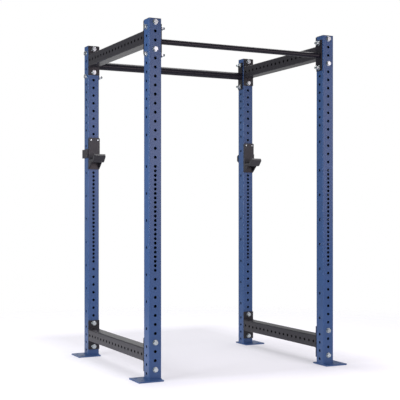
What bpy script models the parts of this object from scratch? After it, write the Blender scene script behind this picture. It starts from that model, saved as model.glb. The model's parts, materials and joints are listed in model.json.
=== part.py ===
"""Power cage: four drilled uprights, four crossmembers, two pull-up bars and a pair of J-cups.

Metres, +Z up. The origin is on the floor, at the centre of the cage. +X runs along the pull-up
bars and +Y along the crossmembers. "Front" is the -Y side and "left" is the -X side.
"""

import math

import bmesh
import bpy
from mathutils import Matrix, Vector

INCH = 0.0254

# Driving dimensions of the cage
WIDTH = 46.0 * INCH             # upright centre to upright centre, across
DEPTH = 39.5 * INCH             # upright centre to upright centre, front to rear
HEIGHT = 80.25 * INCH           # floor to the top of the steel uprights
GAP = 0.0003                    # clearance kept between touching pieces

# Square tube
TUBE = 3.0 * INCH
WALL = 0.003
TUBE_RADIUS = 0.006
TUBE_INNER_RADIUS = 0.0015
CORNER_STEPS = 3

# Hole pattern: distances in inches below a datum, which lies an inch above the highest hole. Holes
# are drawn with few sides, and each polygon's clear width is the real hole's diameter
HOLE_DATUM = HEIGHT + 0.25 * INCH
HOLE_RADIUS = 11.0 / 32.0 * INCH
FREE_HOLE_SIDES = 4
BOLT_HOLE_SIDES = 8
PIN_HOLE_SIDES = 12
UPPER_HOLES = range(1, 34, 2)
BENCH_ZONE_HOLES = range(34, 57)
LOWER_HOLES = range(58, 79, 2)
FACE_HOLES = [*UPPER_HOLES, *BENCH_ZONE_HOLES, *LOWER_HOLES]

# Feet
FOOT = 6.0 * INCH
FOOT_THICKNESS = 0.008
ANCHOR_RADIUS = 0.008
ANCHOR_INSET = 1.25 * INCH

# Bolted end flanges, shared by crossmembers and pull-up bars
CROSSMEMBER_FLANGE_WIDTH = TUBE
BAR_FLANGE_WIDTH = 2.25 * INCH
FLANGE_HEIGHT = 7.5 * INCH
FLANGE_THICKNESS = 0.25 * INCH
BOLT_SPREAD = 3.0 * INCH        # bolt above and below the flange's centre
FLANGE_STACK = FLANGE_THICKNESS + GAP

# Heights of the flanges' centres
TOP_CROSSMEMBER_Z = HOLE_DATUM - 4.0 * INCH
BOTTOM_CROSSMEMBER_Z = HOLE_DATUM - 75.0 * INCH
PULLUP_BAR_Z = HOLE_DATUM - 5.0 * INCH

# Crossmembers and pull-up bars
CROSSMEMBER_HOLES = range(-17, 18, 2)
THIN_BAR_RADIUS = 0.625 * INCH
FAT_BAR_RADIUS = 1.0 * INCH
BAR_SIDES = 24

# 5/8 inch bolts with a washer under the head and under the nut
BOLT_RADIUS = 5.0 / 16.0 * INCH
HEX_CORNER = 15.0 / 16.0 * INCH / math.sqrt(3.0)
HEAD_HEIGHT = 0.010
NUT_HEIGHT = 0.0139
WASHER_RADIUS = 0.0166
WASHER_THICKNESS = 0.0025
WASHER_SIDES = 8
BOLT_SIDES = 6
BOLT_END = 0.012
BOLT_GRIP = TUBE + FLANGE_THICKNESS + 2.0 * GAP

# Plastic caps in the tops of the uprights
CAP_THICKNESS = 0.0025
CAP_PLUG_DEPTH = 0.008
CAP_CLEARANCE = 0.0005

# J-cups, measured from the pin's axis. "Forward" is the distance in front of the upright's face
JCUP_PIN_Z = HOLE_DATUM - 25.0 * INCH
JCUP_PLATE = 0.25 * INCH
JCUP_TOP = 1.0 * INCH
JCUP_BOTTOM = -7.15 * INCH
SHELF_TOP = -5.2 * INCH
SHELF_BOTTOM = SHELF_TOP - JCUP_PLATE
LIP_BASE = Vector((3.6 * INCH, SHELF_BOTTOM))
LIP_TIP = Vector((5.05 * INCH, -3.85 * INCH))
GUSSET_FORWARD = 2.15 * INCH
JCUP_PIN_RADIUS = 0.0077
JCUP_PIN_LENGTH = 1.5 * INCH
BACK_LINER = 0.375 * INCH
SADDLE_LINER = 0.5 * INCH
WING_TOP = -2.0 * INCH
WING_BOTTOM = -4.2 * INCH
WING_THICKNESS = 0.375 * INCH
RETURN_GAP = 0.32 * INCH
RETURN_CHAMFER = 0.4 * INCH
LINER_SCREW_Z = 0.42 * INCH
LINER_SCREW_SPREAD = 0.92 * INCH
LINER_SCREW_RADIUS = 0.004
LINER_SCREW_HEAD_RADIUS = 0.0065
LINER_SCREW_HEAD_HEIGHT = 0.004
LINER_SCREW_SIDES = 8

# Surface finishes: colour, roughness, metallic
FINISHES = {
    "blue_powder_coat": ((0.026, 0.078, 0.225, 1.0), 0.38, 0.0),
    "black_powder_coat": ((0.022, 0.021, 0.024, 1.0), 0.45, 0.0),
    "zinc": ((0.62, 0.63, 0.64, 1.0), 0.30, 1.0),
    "black_plastic": ((0.020, 0.020, 0.022, 1.0), 0.55, 0.0),
    "cap_plastic": ((0.016, 0.016, 0.017, 1.0), 0.50, 0.0),
}

CORNERS = {
    "front_left": (-1, -1),
    "front_right": (1, -1),
    "rear_left": (-1, 1),
    "rear_right": (1, 1),
}


# Mesh helpers

def clear_scene():
    for item in list(bpy.data.objects):
        bpy.data.objects.remove(item, do_unlink=True)


def mesh_from_bmesh(name, bm):
    bmesh.ops.recalc_face_normals(bm, faces=bm.faces)
    mesh = bpy.data.meshes.new(name)
    bm.to_mesh(mesh)
    bm.free()
    return mesh


def box(low, high):
    """A solid box between two corners."""
    bm = bmesh.new()
    low = Vector(low)
    high = Vector(high)
    size = Matrix.Diagonal((*(high - low), 1.0))
    bmesh.ops.create_cube(bm, size=1.0, matrix=Matrix.Translation((low + high) / 2.0) @ size)
    return mesh_from_bmesh("box", bm)


def rods(starts, axis, length, radius, sides):
    """One mesh of parallel rods, each from a start point along the axis, flat side to +X or +Z."""
    bm = bmesh.new()
    axis = Vector(axis)
    turn = axis.to_track_quat("Z", "Y").to_matrix().to_4x4() @ Matrix.Rotation(math.pi / sides, 4, "Z")
    for start in starts:
        centre = Vector(start) + axis * length / 2.0
        bmesh.ops.create_cone(
            bm, cap_ends=True, segments=sides, radius1=radius, radius2=radius,
            depth=length, matrix=Matrix.Translation(centre) @ turn)
    return mesh_from_bmesh("rods", bm)


def holes(starts, axis, length, radius, sides):
    """Cutters for holes whose flat sides touch a circle of the given radius."""
    return rods(starts, axis, length, radius / math.cos(math.pi / sides), sides)


def prism(outline, direction):
    """A closed outline of 3-D points, extruded along a direction."""
    bm = bmesh.new()
    face = bm.faces.new([bm.verts.new(point) for point in outline])
    extruded = bmesh.ops.extrude_face_region(bm, geom=[face])
    moved = [item for item in extruded["geom"] if isinstance(item, bmesh.types.BMVert)]
    bmesh.ops.translate(bm, verts=moved, vec=Vector(direction))
    return mesh_from_bmesh("prism", bm)


def rounded_square(half, radius):
    """Corner points of a square with round corners, anticlockwise in its own plane."""
    points = []
    for quarter in range(4):
        middle = math.radians(45.0 + 90.0 * quarter)
        centre = Vector((math.cos(middle), math.sin(middle))) * (half - radius) * math.sqrt(2.0)
        for step in range(CORNER_STEPS + 1):
            angle = math.radians(90.0 * quarter + 90.0 * step / CORNER_STEPS)
            points.append(centre + Vector((math.cos(angle), math.sin(angle))) * radius)
    return points


def square_tube(start, end, along):
    """A hollow square tube with open ends, along "Y" or "Z", centred on the other two axes."""
    def place(point, distance):
        if along == "Z":
            return (point.x, point.y, distance)
        return (point.x, distance, point.y)

    bm = bmesh.new()
    half = TUBE / 2.0
    outlines = [rounded_square(half, TUBE_RADIUS), rounded_square(half - WALL, TUBE_INNER_RADIUS)]
    loops = [[bm.verts.new(place(point, end_of_tube)) for point in outline]
             for outline in outlines for end_of_tube in (start, end)]
    outer_start, outer_end, inner_start, inner_end = loops
    for first, second in ((outer_start, outer_end), (outer_end, inner_end),
                          (inner_end, inner_start), (inner_start, outer_start)):
        for index in range(len(first)):
            following = (index + 1) % len(first)
            bm.faces.new((first[index], first[following], second[following], second[index]))
    return mesh_from_bmesh("tube", bm)


def combined(base, others, operation):
    """The base mesh joined with, or cut by, each of the others."""
    for other in others:
        holder = bpy.data.objects.new("base", base)
        tool = bpy.data.objects.new("tool", other)
        for item in (holder, tool):
            bpy.context.scene.collection.objects.link(item)
        modifier = holder.modifiers.new("boolean", "BOOLEAN")
        modifier.operation = operation
        modifier.object = tool
        evaluated = holder.evaluated_get(bpy.context.evaluated_depsgraph_get())
        base = bpy.data.meshes.new_from_object(evaluated)
        for item in (holder, tool):
            bpy.data.objects.remove(item, do_unlink=True)
    return base


def mirrored(mesh):
    """The mesh mirrored across its own X = 0 plane."""
    bm = bmesh.new()
    bm.from_mesh(mesh)
    bmesh.ops.scale(bm, verts=bm.verts, vec=(-1.0, 1.0, 1.0))
    bmesh.ops.reverse_faces(bm, faces=bm.faces)
    return mesh_from_bmesh(mesh.name, bm)


def finish_material(finish, node):
    colour, roughness, metallic = FINISHES[finish]
    material = bpy.data.materials.new(node + "_" + finish)
    material.use_nodes = True
    shader = material.node_tree.nodes["Principled BSDF"]
    shader.inputs["Base Color"].default_value = colour
    shader.inputs["Roughness"].default_value = roughness
    shader.inputs["Metallic"].default_value = metallic
    return material


def add_piece(name, mesh, finish, location=(0.0, 0.0, 0.0), rotation=(0.0, 0.0, 0.0), parent=None):
    """Place one named piece in the scene, with its own material and round parts shaded smooth."""
    piece = bpy.data.objects.new(name, mesh.copy())
    piece.data.name = name
    piece.data.materials.clear()
    piece.data.materials.append(finish_material(finish, name))
    piece.data.shade_smooth()
    piece.data.set_sharp_from_angle(angle=math.radians(35.0))
    piece.location = location
    piece.rotation_euler = rotation
    piece.parent = parent
    bpy.context.scene.collection.objects.link(piece)
    return piece


# Uprights

def upright_mesh(outward, pin_hole):
    """Drilled tube on its foot. outward is -1 or 1: the side to which the foot reaches."""
    half = TUBE / 2.0
    tube = square_tube(FOOT_THICKNESS / 2.0, HEIGHT, "Z")
    inner_edge = -outward * half
    outer_edge = inner_edge + outward * FOOT
    foot = box((min(inner_edge, outer_edge), -FOOT / 2.0, 0.0),
               (max(inner_edge, outer_edge), FOOT / 2.0, FOOT_THICKNESS))
    body = combined(tube, [foot], "UNION")

    bolts_y = {centre + side * BOLT_SPREAD
               for centre in (TOP_CROSSMEMBER_Z, BOTTOM_CROSSMEMBER_Z) for side in (-1, 1)}
    bolts_x = [PULLUP_BAR_Z - BOLT_SPREAD, PULLUP_BAR_Z + BOLT_SPREAD]
    taken = [*bolts_y, JCUP_PIN_Z] if pin_hole else list(bolts_y)
    free = [HOLE_DATUM - below * INCH for below in FACE_HOLES]
    free = [z for z in free if min(abs(z - used) for used in taken) > HOLE_RADIUS]

    start = -half - WALL
    reach = TUBE + 2.0 * WALL
    cutters = [
        holes([(0.0, start, z) for z in free], (0, 1, 0), reach, HOLE_RADIUS, FREE_HOLE_SIDES),
        holes([(0.0, start, z) for z in bolts_y], (0, 1, 0), reach, HOLE_RADIUS, BOLT_HOLE_SIDES),
        holes([(start, 0.0, z) for z in bolts_x], (1, 0, 0), reach, HOLE_RADIUS, BOLT_HOLE_SIDES),
        anchor_cutter(outer_edge - outward * ANCHOR_INSET),
    ]
    if pin_hole:
        cutters.append(holes([(0.0, start, JCUP_PIN_Z)], (0, 1, 0), reach, HOLE_RADIUS, PIN_HOLE_SIDES))
    return combined(body, cutters, "DIFFERENCE")


def anchor_cutter(x):
    """Two floor-anchor holes through the part of the foot that stands out."""
    y = FOOT / 2.0 - ANCHOR_INSET
    starts = [(x, side * y, -FOOT_THICKNESS) for side in (-1, 1)]
    return holes(starts, (0, 0, 1), 3.0 * FOOT_THICKNESS, ANCHOR_RADIUS, BOLT_HOLE_SIDES)


def cap_mesh():
    """Plastic cap: a plate on the tube's end and a plug inside it."""
    plate = prism([(*point, GAP) for point in rounded_square(TUBE / 2.0, TUBE_RADIUS)],
                  (0.0, 0.0, CAP_THICKNESS))
    plug_half = TUBE / 2.0 - WALL - CAP_CLEARANCE
    plug = box((-plug_half + TUBE_RADIUS / 2.0, -plug_half, -CAP_PLUG_DEPTH),
               (plug_half - TUBE_RADIUS / 2.0, plug_half, GAP + CAP_THICKNESS / 2.0))
    return combined(plate, [plug], "UNION")


def add_uprights():
    cap = cap_mesh()
    for corner, (side_x, side_y) in CORNERS.items():
        place = Vector((side_x * WIDTH / 2.0, side_y * DEPTH / 2.0, 0.0))
        add_piece("upright_" + corner, upright_mesh(side_x, side_y > 0), "blue_powder_coat", place)
        add_piece("cap_" + corner, cap, "cap_plastic", place + Vector((0.0, 0.0, HEIGHT)))


# Crossmembers and pull-up bars

def flange_box(centre, normal, width):
    """A flange plate standing upright, its thickness along "X" or "Y"."""
    half = Vector((width, width, FLANGE_HEIGHT)) / 2.0
    half["XY".index(normal)] = FLANGE_THICKNESS / 2.0
    centre = Vector(centre)
    return box(centre - half, centre + half)


def crossmember_mesh():
    """Tube along Y with a flange at each end, drilled through its sides."""
    end = DEPTH / 2.0 - TUBE / 2.0 - GAP
    middle = end - FLANGE_THICKNESS / 2.0
    tube = square_tube(-middle, middle, "Y")
    flanges = [flange_box((0.0, side * middle, 0.0), "Y", CROSSMEMBER_FLANGE_WIDTH) for side in (-1, 1)]
    body = combined(tube, flanges, "UNION")
    start = -TUBE / 2.0 - WALL
    reach = TUBE + 2.0 * WALL
    side_holes = holes([(start, y * INCH, 0.0) for y in CROSSMEMBER_HOLES],
                       (1, 0, 0), reach, HOLE_RADIUS, FREE_HOLE_SIDES)
    bolt_holes = holes([(0.0, -end - WALL, side * BOLT_SPREAD) for side in (-1, 1)],
                       (0, 1, 0), 2.0 * (end + WALL), HOLE_RADIUS, BOLT_HOLE_SIDES)
    return combined(body, [side_holes, bolt_holes], "DIFFERENCE")


def pullup_bar_mesh(radius):
    """Round bar along X with a flange at each end."""
    end = WIDTH / 2.0 - TUBE / 2.0 - GAP
    middle = end - FLANGE_THICKNESS / 2.0
    bar = rods([(-middle, 0.0, 0.0)], (1, 0, 0), 2.0 * middle, radius, BAR_SIDES)
    flanges = [flange_box((side * middle, 0.0, 0.0), "X", BAR_FLANGE_WIDTH) for side in (-1, 1)]
    body = combined(bar, flanges, "UNION")
    bolt_holes = holes([(-end - WALL, 0.0, side * BOLT_SPREAD) for side in (-1, 1)],
                       (1, 0, 0), 2.0 * (end + WALL), HOLE_RADIUS, BOLT_HOLE_SIDES)
    return combined(body, [bolt_holes], "DIFFERENCE")


def add_members():
    crossmember = crossmember_mesh()
    for level, z in (("top", TOP_CROSSMEMBER_Z), ("bottom", BOTTOM_CROSSMEMBER_Z)):
        for side, sign in (("left", -1), ("right", 1)):
            add_piece(f"crossmember_{side}_{level}", crossmember, "black_powder_coat",
                      (sign * WIDTH / 2.0, 0.0, z))
    add_piece("pullup_bar_thin", pullup_bar_mesh(THIN_BAR_RADIUS), "black_powder_coat",
              (0.0, -DEPTH / 2.0, PULLUP_BAR_Z))
    add_piece("pullup_bar_fat", pullup_bar_mesh(FAT_BAR_RADIUS), "black_powder_coat",
              (0.0, DEPTH / 2.0, PULLUP_BAR_Z))


# Bolts

def bolt_mesh():
    """Bolt with both washers and its nut. z = 0 is the face under the head; the shank runs to +Z."""
    washer_top = -GAP - WASHER_THICKNESS
    nut_start = BOLT_GRIP + WASHER_THICKNESS
    nut_end = nut_start + NUT_HEIGHT
    overlap = WASHER_THICKNESS / 2.0
    head = rods([(0.0, 0.0, washer_top - HEAD_HEIGHT)], (0, 0, 1), HEAD_HEIGHT + overlap, HEX_CORNER, 6)
    head_washer = rods([(0.0, 0.0, washer_top)], (0, 0, 1), WASHER_THICKNESS, WASHER_RADIUS, WASHER_SIDES)
    nut_washer = rods([(0.0, 0.0, nut_start - WASHER_THICKNESS)], (0, 0, 1),
                      WASHER_THICKNESS, WASHER_RADIUS, WASHER_SIDES)
    nut = rods([(0.0, 0.0, nut_start - overlap)], (0, 0, 1), NUT_HEIGHT + overlap, HEX_CORNER, 6)
    shank = rods([(0.0, 0.0, washer_top + overlap)], (0, 0, 1),
                 nut_end + BOLT_END - washer_top - overlap, BOLT_RADIUS, BOLT_SIDES)
    return combined(shank, [head_washer, head, nut_washer, nut], "UNION")


def add_bolts():
    """Crossmember bolts run front to rear, pull-up bar bolts run from the cage's outside inwards."""
    mesh = bolt_mesh()
    half = TUBE / 2.0
    to_rear = (-math.pi / 2.0, 0.0, 0.0)
    for corner, (side_x, side_y) in CORNERS.items():
        x = side_x * WIDTH / 2.0
        y = side_y * DEPTH / 2.0
        head_face = y - half - (FLANGE_STACK if side_y > 0 else 0.0)
        for level, centre in (("top", TOP_CROSSMEMBER_Z), ("bottom", BOTTOM_CROSSMEMBER_Z)):
            for end, sign in (("upper", 1), ("lower", -1)):
                add_piece(f"bolt_{corner}_{level}_{end}", mesh, "zinc",
                          (x, head_face, centre + sign * BOLT_SPREAD), to_rear)
        inward = (0.0, -side_x * math.pi / 2.0, 0.0)
        for end, sign in (("upper", 1), ("lower", -1)):
            add_piece(f"bolt_{corner}_bar_{end}", mesh, "zinc",
                      (x + side_x * half, y, PULLUP_BAR_Z + sign * BOLT_SPREAD), inward)


# J-cups, built for the left side with the wing towards -X

def lip_point(along, inward):
    """A point in the J-cup's side view: a share of the way up the lip, and so far behind its face."""
    direction = LIP_TIP - LIP_BASE
    normal = Vector((-direction.y, direction.x)).normalized()
    return LIP_BASE + direction * along + normal * inward


def lip_at_height(z, inward):
    """The forward distance at which a line parallel to the lip's face reaches a height."""
    base = lip_point(0.0, inward)
    direction = LIP_TIP - LIP_BASE
    return base.x + (z - base.y) / direction.y * direction.x


def side_profile(points, x_low, x_high):
    """Extrude a side view of (forward, z) points between two X positions."""
    outline = [(x_low, -forward, z) for forward, z in points]
    return prism(outline, (x_high - x_low, 0.0, 0.0))


def bracket_mesh():
    """Steel J: back plate, shelf and lip, two gussets, and a wing that wraps the upright."""
    half = TUBE / 2.0
    front = GAP + JCUP_PLATE
    lip_root = lip_at_height(SHELF_TOP, JCUP_PLATE)
    profile = [
        (GAP, JCUP_TOP), (front, JCUP_TOP), (front, SHELF_TOP), (lip_root, SHELF_TOP),
        lip_point(1.0, JCUP_PLATE), LIP_TIP, LIP_BASE, (front, SHELF_BOTTOM),
        (front, JCUP_BOTTOM), (GAP, JCUP_BOTTOM),
    ]
    body = side_profile(profile, -half, half)

    inside = JCUP_PLATE / 2.0
    gusset = [(inside, JCUP_BOTTOM + inside), (inside, SHELF_BOTTOM + inside),
              (GUSSET_FORWARD, SHELF_BOTTOM + inside), (GUSSET_FORWARD, SHELF_BOTTOM),
              (front, JCUP_BOTTOM + inside)]
    gussets = [side_profile(gusset, -half, -half + JCUP_PLATE), side_profile(gusset, half - JCUP_PLATE, half)]

    wing_inner = -half - GAP
    wing_outer = wing_inner - WING_THICKNESS
    return_front = TUBE + RETURN_GAP
    return_rear = return_front + WING_THICKNESS
    wing = box((wing_outer, -front, WING_BOTTOM), (wing_inner, return_rear, WING_TOP))
    tab = box((wing_outer + inside, -front, WING_BOTTOM), (-half + inside, -GAP, WING_TOP))
    wrap = [(wing_inner - inside, WING_BOTTOM), (half - RETURN_CHAMFER, WING_BOTTOM),
            (half, WING_BOTTOM + RETURN_CHAMFER), (half, WING_TOP - RETURN_CHAMFER),
            (half - RETURN_CHAMFER, WING_TOP), (wing_inner - inside, WING_TOP)]
    wrap = prism([(x, return_front, z) for x, z in wrap], (0.0, WING_THICKNESS, 0.0))
    body = combined(body, [*gussets, tab, wing, wrap], "UNION")

    pin_hole = holes([(0.0, 0.0, 0.0)], (0, -1, 0), 2.0 * front, JCUP_PIN_RADIUS + GAP, PIN_HOLE_SIDES)
    screw_holes = holes([(side * LINER_SCREW_SPREAD, 0.0, LINER_SCREW_Z) for side in (-1, 1)],
                        (0, -1, 0), 2.0 * front, LINER_SCREW_RADIUS + GAP, LINER_SCREW_SIDES)
    return combined(body, [pin_hole, screw_holes], "DIFFERENCE")


def back_liner_mesh():
    """Plastic sheet on the back plate, with two screw holes."""
    back = 2.0 * GAP + JCUP_PLATE
    half = TUBE / 2.0
    sheet = box((-half, -back - BACK_LINER, SHELF_TOP + GAP), (half, -back, JCUP_TOP))
    screw_holes = holes([(side * LINER_SCREW_SPREAD, 0.0, LINER_SCREW_Z) for side in (-1, 1)],
                        (0, -1, 0), 2.0 * (back + BACK_LINER), LINER_SCREW_RADIUS + GAP, LINER_SCREW_SIDES)
    return combined(sheet, [screw_holes], "DIFFERENCE")


def saddle_liner_mesh():
    """Plastic L on the shelf and up the inside of the lip, where the bar rests."""
    start = 3.0 * GAP + JCUP_PLATE + BACK_LINER
    bottom = SHELF_TOP + GAP
    top = bottom + SADDLE_LINER
    outer = JCUP_PLATE + GAP
    inner = outer + SADDLE_LINER
    profile = [
        (start, bottom), (lip_at_height(bottom, outer), bottom), lip_point(1.0, outer),
        lip_point(1.0, inner), (lip_at_height(top, inner), top), (start, top),
    ]
    half = TUBE / 2.0
    return side_profile(profile, -half, half)


def screw_mesh():
    """Button-head screw along -Y, seated on the liner's face."""
    face = 2.0 * GAP + JCUP_PLATE + BACK_LINER + GAP
    head = rods([(0.0, -face, 0.0)], (0, -1, 0), LINER_SCREW_HEAD_HEIGHT, LINER_SCREW_HEAD_RADIUS,
                LINER_SCREW_SIDES)
    overlap = LINER_SCREW_HEAD_HEIGHT / 2.0
    shank = rods([(0.0, -2.0 * GAP, 0.0)], (0, -1, 0), face - 2.0 * GAP + overlap, LINER_SCREW_RADIUS,
                 LINER_SCREW_SIDES)
    return combined(head, [shank], "UNION")


def pin_mesh():
    """Peg through the back plate and the upright's front wall: the J-cup's hinge."""
    front = GAP + JCUP_PLATE
    return rods([(0.0, -front, 0.0)], (0, 1, 0), front + JCUP_PIN_LENGTH, JCUP_PIN_RADIUS, PIN_HOLE_SIDES)


def add_jcup(side, sign):
    """One J-cup, hung on an empty at its pin's axis."""
    pivot = bpy.data.objects.new(side + "_jcup_pivot", None)
    pivot.location = (sign * WIDTH / 2.0, DEPTH / 2.0 - TUBE / 2.0, JCUP_PIN_Z)
    bpy.context.scene.collection.objects.link(pivot)
    bracket = bracket_mesh()
    pieces = [
        ("bracket", bracket if sign < 0 else mirrored(bracket), "black_powder_coat"),
        ("pin", pin_mesh(), "zinc"),
        ("back_liner", back_liner_mesh(), "black_plastic"),
        ("saddle_liner", saddle_liner_mesh(), "black_plastic"),
    ]
    for name, mesh, finish in pieces:
        add_piece(f"{side}_jcup_{name}", mesh, finish, parent=pivot)
    screw = screw_mesh()
    for name, offset in (("outer", sign), ("inner", -sign)):
        add_piece(f"{side}_jcup_screw_{name}", screw, "zinc",
                  (offset * LINER_SCREW_SPREAD, 0.0, LINER_SCREW_Z), parent=pivot)


def main():
    clear_scene()
    add_uprights()
    add_members()
    add_bolts()
    add_jcup("left", -1)
    add_jcup("right", 1)


main()
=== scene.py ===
"""Looks of the power cage: every visible surface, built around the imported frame, and the studio.

Metres, in the frame's own axes: +Z up, -Y is the front and -X the left.
"""

import json
import math

import bmesh
import bpy
from mathutils import Matrix, Vector


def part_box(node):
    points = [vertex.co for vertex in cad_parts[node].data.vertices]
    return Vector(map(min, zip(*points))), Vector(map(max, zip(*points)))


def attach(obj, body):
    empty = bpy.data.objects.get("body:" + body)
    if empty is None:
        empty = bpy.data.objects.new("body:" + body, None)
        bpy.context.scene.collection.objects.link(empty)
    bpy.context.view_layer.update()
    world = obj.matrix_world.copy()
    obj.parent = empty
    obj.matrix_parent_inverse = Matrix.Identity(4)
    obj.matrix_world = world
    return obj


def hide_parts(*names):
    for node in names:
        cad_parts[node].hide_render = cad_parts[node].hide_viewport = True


INCH = 0.0254
CORNERS = ("front_left", "front_right", "rear_left", "rear_right")
MERGE = 1e-6                    # vertices closer than this become one
SMOOTH_ANGLE = 32.0             # edges sharper than this stay sharp

# Square tube and its drilling. Hole places are in inches: below a datum a little above the top of
# an upright, or from the middle of a crossmember
TUBE = 3.0 * INCH
WALL = 0.003
TUBE_RADIUS = 0.006
CORNER_STEPS = 6
HOLE_RADIUS = 11.0 / 32.0 * INCH
HOLE_CHAMFER = 0.0005
HOLE_CELL = INCH                # length of wall that one hole's faces fill
HOLE_DATUM_RISE = 0.25 * INCH
QUARTER_HOLE = 6                # sides in a quarter of a hole's rim
FACE_HOLES = (*range(1, 34, 2), *range(34, 57), *range(58, 79, 2))
SIDE_HOLES = (*range(2, 23, 2), 26, *range(33, 70, 6), *range(73, 80, 2))
CROSSMEMBER_HOLES = range(-17, 18, 2)
GAP = 0.0003                    # clearance between touching pieces

# Feet, flanges and bars
FOOT_THICKNESS = 0.008
FOOT_CORNER = 0.005
ANCHOR_RADIUS = 0.008
ANCHOR_INSET = 1.25 * INCH
FLANGE_CORNER = 0.0025
FLANGE_THICKNESS = 0.25 * INCH
BOLT_SPREAD = 3.0 * INCH
PLATE_BEVEL = 0.0007
THIN_BAR_RADIUS = 0.625 * INCH
FAT_BAR_RADIUS = 1.0 * INCH
BAR_SIDES = 72
BAR_SPANS = 40                  # lengths that a bar's surface is divided into

# Welds
BEAD = 0.0042
BAR_BEAD = 0.0030
BEAD_STEP = 0.0012
BEAD_RIPPLE = 0.0052
BEAD_SECTION = range(-45, 136, 30)
BEAD_VALLEY = 0.80              # a bead's radius between ripples, as a share of its size
BEAD_CREST = 0.20               # what a ripple adds
BEAD_ROUNDNESS = 0.7
BEAD_PROUD = 0.0006             # how far a flush bead stands out of the tube's sides

# Bolts
BOLT_RADIUS = 5.0 / 16.0 * INCH
HEX_FLAT = 15.0 / 32.0 * INCH
HEX_TOP = 0.97                  # radius of a hexagon's flat end, as a share of HEX_FLAT
HEX_SLOPE = math.tan(math.radians(30.0))
HEX_BEVEL = 0.0003
HEAD_HEIGHT = 0.010
NUT_HEIGHT = 0.0139
WASHER_RADIUS = 0.0156
WASHER_THICKNESS = 0.0025
BOLT_END = 0.012
THREAD_PITCH = 0.0023
THREAD_DEPTH = 0.0011
THREAD_DEPTHS = (1.0, 0.5, 0.0, 0.5)    # at each quarter of the pitch, as shares of the full depth
ROUND_SIDES = 48

# Caps
CAP_THICKNESS = 0.0025
# How far in from the edge, and how high as a share of the thickness
CAP_DOME = ((0.0, 0.0), (0.0, 0.55), (0.0005, 0.82), (0.0015, 0.95), (0.004, 1.0))
CAP_LEAST_RADIUS = 0.002
CAP_PLUG_CLEARANCE = 0.0005
CAP_PLUG_RADIUS = 0.003
CAP_PLUG_DEPTH = 0.010

# J-cups, measured from the pin's axis. "Forward" is the distance in front of the upright's face
PLATE = 0.25 * INCH
JCUP_TOP = 1.0 * INCH
JCUP_BOTTOM = -7.15 * INCH
SHELF_TOP = -5.2 * INCH
SHELF_BOTTOM = SHELF_TOP - PLATE
LIP_BASE = Vector((3.6 * INCH, SHELF_BOTTOM))
LIP_TIP = Vector((5.05 * INCH, -3.85 * INCH))
LIP_ROUND = 0.009
INNER_BEND = 0.004
OUTER_BEND = 0.010
GUSSET_FORWARD = 2.15 * INCH
GUSSET_RISE = 0.002             # above the plate's foot
GUSSET_DROP = 0.001             # height of the gusset's blunt front edge
PIN_RADIUS = 0.0077
PIN_LENGTH = 1.5 * INCH
PIN_CHAMFER = 0.0005
PIN_NOSE = 0.003
BACK_LINER = 0.375 * INCH
SADDLE_LINER = 0.5 * INCH
LINER_INSET = 0.0006            # how much narrower the liners are than the bracket, on each side
LINER_LIP_SHARE = 0.985         # how far up the lip the saddle liner reaches
WING_TOP = -2.0 * INCH
WING_BOTTOM = -4.2 * INCH
WING_THICKNESS = 0.375 * INCH
WING_OVERLAP = 0.0005           # how far behind the plate's face the wing starts
WING_ROUND = 0.004
WING_OUTER_BEND = WING_THICKNESS * 0.9
WING_INNER_BEND = 0.002
WING_ROOT_BEND = 0.003
RETURN_GAP = 0.32 * INCH
RETURN_CHAMFER = 0.4 * INCH
SCREW_Z = 0.42 * INCH
SCREW_SPREAD = 0.92 * INCH
SCREW_PLACES = ((-SCREW_SPREAD, SCREW_Z), (SCREW_SPREAD, SCREW_Z))
SCREW_RADIUS = 0.004
SCREW_HEAD_RADIUS = 0.0065
SCREW_HEAD_HEIGHT = 0.004
SCREW_SIDES = 32
SOCKET_SHARE = 0.42             # the socket's corners, as a share of the head's radius
TOP_CORNER = 0.007
BOTTOM_CORNER = 0.003
BRACKET_BEVEL = 0.0006
BACK_LINER_BEVEL = 0.0012
SADDLE_LINER_BEVEL = 0.0010
SCREW_BEVEL = 0.0002
BEND_STEPS = 6
CUT_MARGIN = 0.02               # how far cutters reach past what they cut
CUT_REACH = 0.30                # further forward or back than any part of a J-cup

# Turns a shape raised along +Z into one drawn from the side, as (forward, z) raised along X, or
# from the front, as (x, z) raised forwards
FROM_SIDE = Matrix(((0, 0, 1, 0), (-1, 0, 0, 0), (0, 1, 0, 0), (0, 0, 0, 1)))
FROM_FRONT = Matrix(((1, 0, 0, 0), (0, 0, -1, 0), (0, 1, 0, 0), (0, 0, 0, 1)))

# Studio
FLOOR_RADIUS = 3.4
FLOOR_FADE = 1.6                # where the floor starts to fade out
FLOOR_SIDES = 96
FLOOR_DROP = 0.0004
FLOOR_COLOUR = (0.522, 0.517, 0.555, 1.0)
FLOOR_TINT = (1.0, 0.99, 1.05, 1.0)
FLOOR_GLOW_AND_PAINTED_SHADOW = (0.36, 0.58)       # painted shadow under the cage, and the even glow beyond it
# The floor's painted shadow: its centre, how far it reaches and how soft its edge is
PAINTED_SHADOW_CENTRE = (0.08, 0.41, 0.0)
PAINTED_SHADOW_REACH = (0.57, 0.96, 0.0)
PAINTED_SHADOW_EDGE = 0.40
SURROUND_LIGHT = 0.24
BACKDROP_LIGHT = 1.22
BACKDROP_DIRECTION = (0.330, 0.944, 0.0)
BACKDROP_EDGE = (0.94, 0.99)    # cosines between which the surround brightens

# Name, place, what it faces, size, watts and colour
LIGHTS = (
    ("overhead", (0.6, 1.2, 4.2), (0.0, 0.0, 0.8), (4.0, 3.0), 120.0, (1.0, 0.99, 0.98)),
    ("left_softbox", (-3.5, -0.8, 1.7), (-0.6, 0.0, 1.3), (1.8, 2.0), 88.0, (0.97, 0.98, 1.0)),
    ("front_softbox", (1.1, -3.5, 1.65), (0.0, 0.0, 1.2), (3.0, 1.7), 52.0, (1.0, 0.85, 0.90)),
    ("rear_softbox", (-0.75, 3.3, 1.4), (0.0, 0.0, 1.2), (1.5, 1.8), 3.5, (1.0, 0.97, 0.94)),
)

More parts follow.
